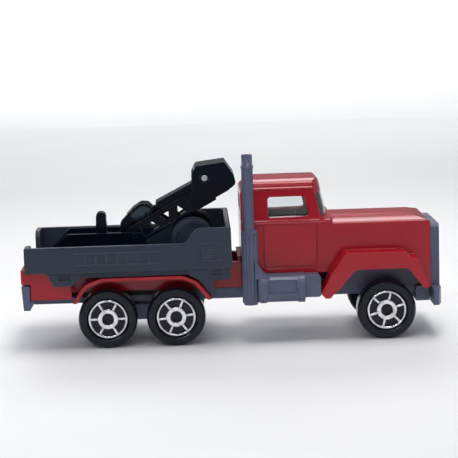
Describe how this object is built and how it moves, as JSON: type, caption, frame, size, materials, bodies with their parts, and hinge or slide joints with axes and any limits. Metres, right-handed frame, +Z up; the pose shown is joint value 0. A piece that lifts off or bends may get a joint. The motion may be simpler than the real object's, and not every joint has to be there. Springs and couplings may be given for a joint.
{
  "type": "toy_tow_truck",
  "caption": "Toy tow truck in die-cast metal and plastic: red bonneted cab, dark grey bed, black folding crane with a hook, bright wheel trims",
  "frame": {"origin": "centre of the truck's footprint on the ground under its bounding box", "axes": "+X towards the front of the truck, +Y to its left-hand side, +Z up"},
  "size_m": [0.082, 0.0284, 0.037],
  "materials": {
    "red_paint": "glossy red enamel on a zinc casting",
    "clear_plastic": "clear moulded glazing",
    "dark_plastic": "matte black plastic",
    "grey_plastic": "satin mid grey plastic",
    "bed_plastic": "satin dark grey plastic",
    "crane_plastic": "glossy black plastic",
    "wheel_plastic": "satin black hard plastic",
    "bright_trim": "bright hot-stamped foil",
    "steel": "plain steel pin"
  },
  "bodies": {
    "body": {"cab_casting": "red_paint", "window_glazing": "clear_plastic", "cab_interior": "dark_plastic", "steering_wheel": "dark_plastic", "grille_bumper": "grey_plastic", "base_plate": "grey_plastic", "side_unit_right": "grey_plastic", "side_unit_left": "grey_plastic", "bed_tub": "bed_plastic", "crane_bracket": "crane_plastic", "bracket_rivets": "steel", "base_rivets": "steel", "rear_axle_carrier": "grey_plastic", "arm_pin": "crane_plastic"},
    "arm": {"crane_arm": "crane_plastic", "jib_rivet": "steel"},
    "jib": {"crane_jib": "crane_plastic", "hook_pin": "crane_plastic"},
    "hook": {"tow_hook": "crane_plastic"},
    "rear_wheelset": {"axle_rear": "steel", "wheel_rear_right": "wheel_plastic", "wheel_rear_left": "wheel_plastic", "trim_rear_right": "bright_trim", "trim_rear_left": "bright_trim"},
    "middle_wheelset": {"axle_middle": "steel", "wheel_middle_right": "wheel_plastic", "wheel_middle_left": "wheel_plastic", "trim_middle_right": "bright_trim", "trim_middle_left": "bright_trim"},
    "front_wheelset": {"axle_front": "steel", "wheel_front_right": "wheel_plastic", "wheel_front_left": "wheel_plastic", "trim_front_right": "bright_trim", "trim_front_left": "bright_trim"}
  },
  "joints": [
    {"name": "rear_roll", "type": "hinge", "parent": "body", "child": "rear_wheelset", "pos_m": [-0.0245, 0, 0.00575], "axis": [0, 1, 0], "continuous": true},
    {"name": "middle_roll", "type": "hinge", "parent": "body", "child": "middle_wheelset", "pos_m": [-0.0112, 0, 0.00575], "axis": [0, 1, 0], "continuous": true},
    {"name": "front_roll", "type": "hinge", "parent": "body", "child": "front_wheelset", "pos_m": [0.03, 0, 0.00575], "axis": [0, 1, 0], "continuous": true},
    {"name": "arm_lift", "type": "hinge", "parent": "body", "child": "arm", "pos_m": [-0.0189, 0, 0.0209], "axis": [0, -1, 0], "range_deg": [0, 24]},
    {"name": "jib_fold", "type": "hinge", "parent": "arm", "child": "jib", "pos_m": [-0.0048, 0, 0.0319], "axis": [0, 1, 0], "range_deg": [0, 60]},
    {"name": "hook_swing", "type": "hinge", "parent": "jib", "child": "hook", "pos_m": [-0.0166, 0, 0.0249], "axis": [0, 1, 0], "range_deg": [0, 50]}
  ]
}
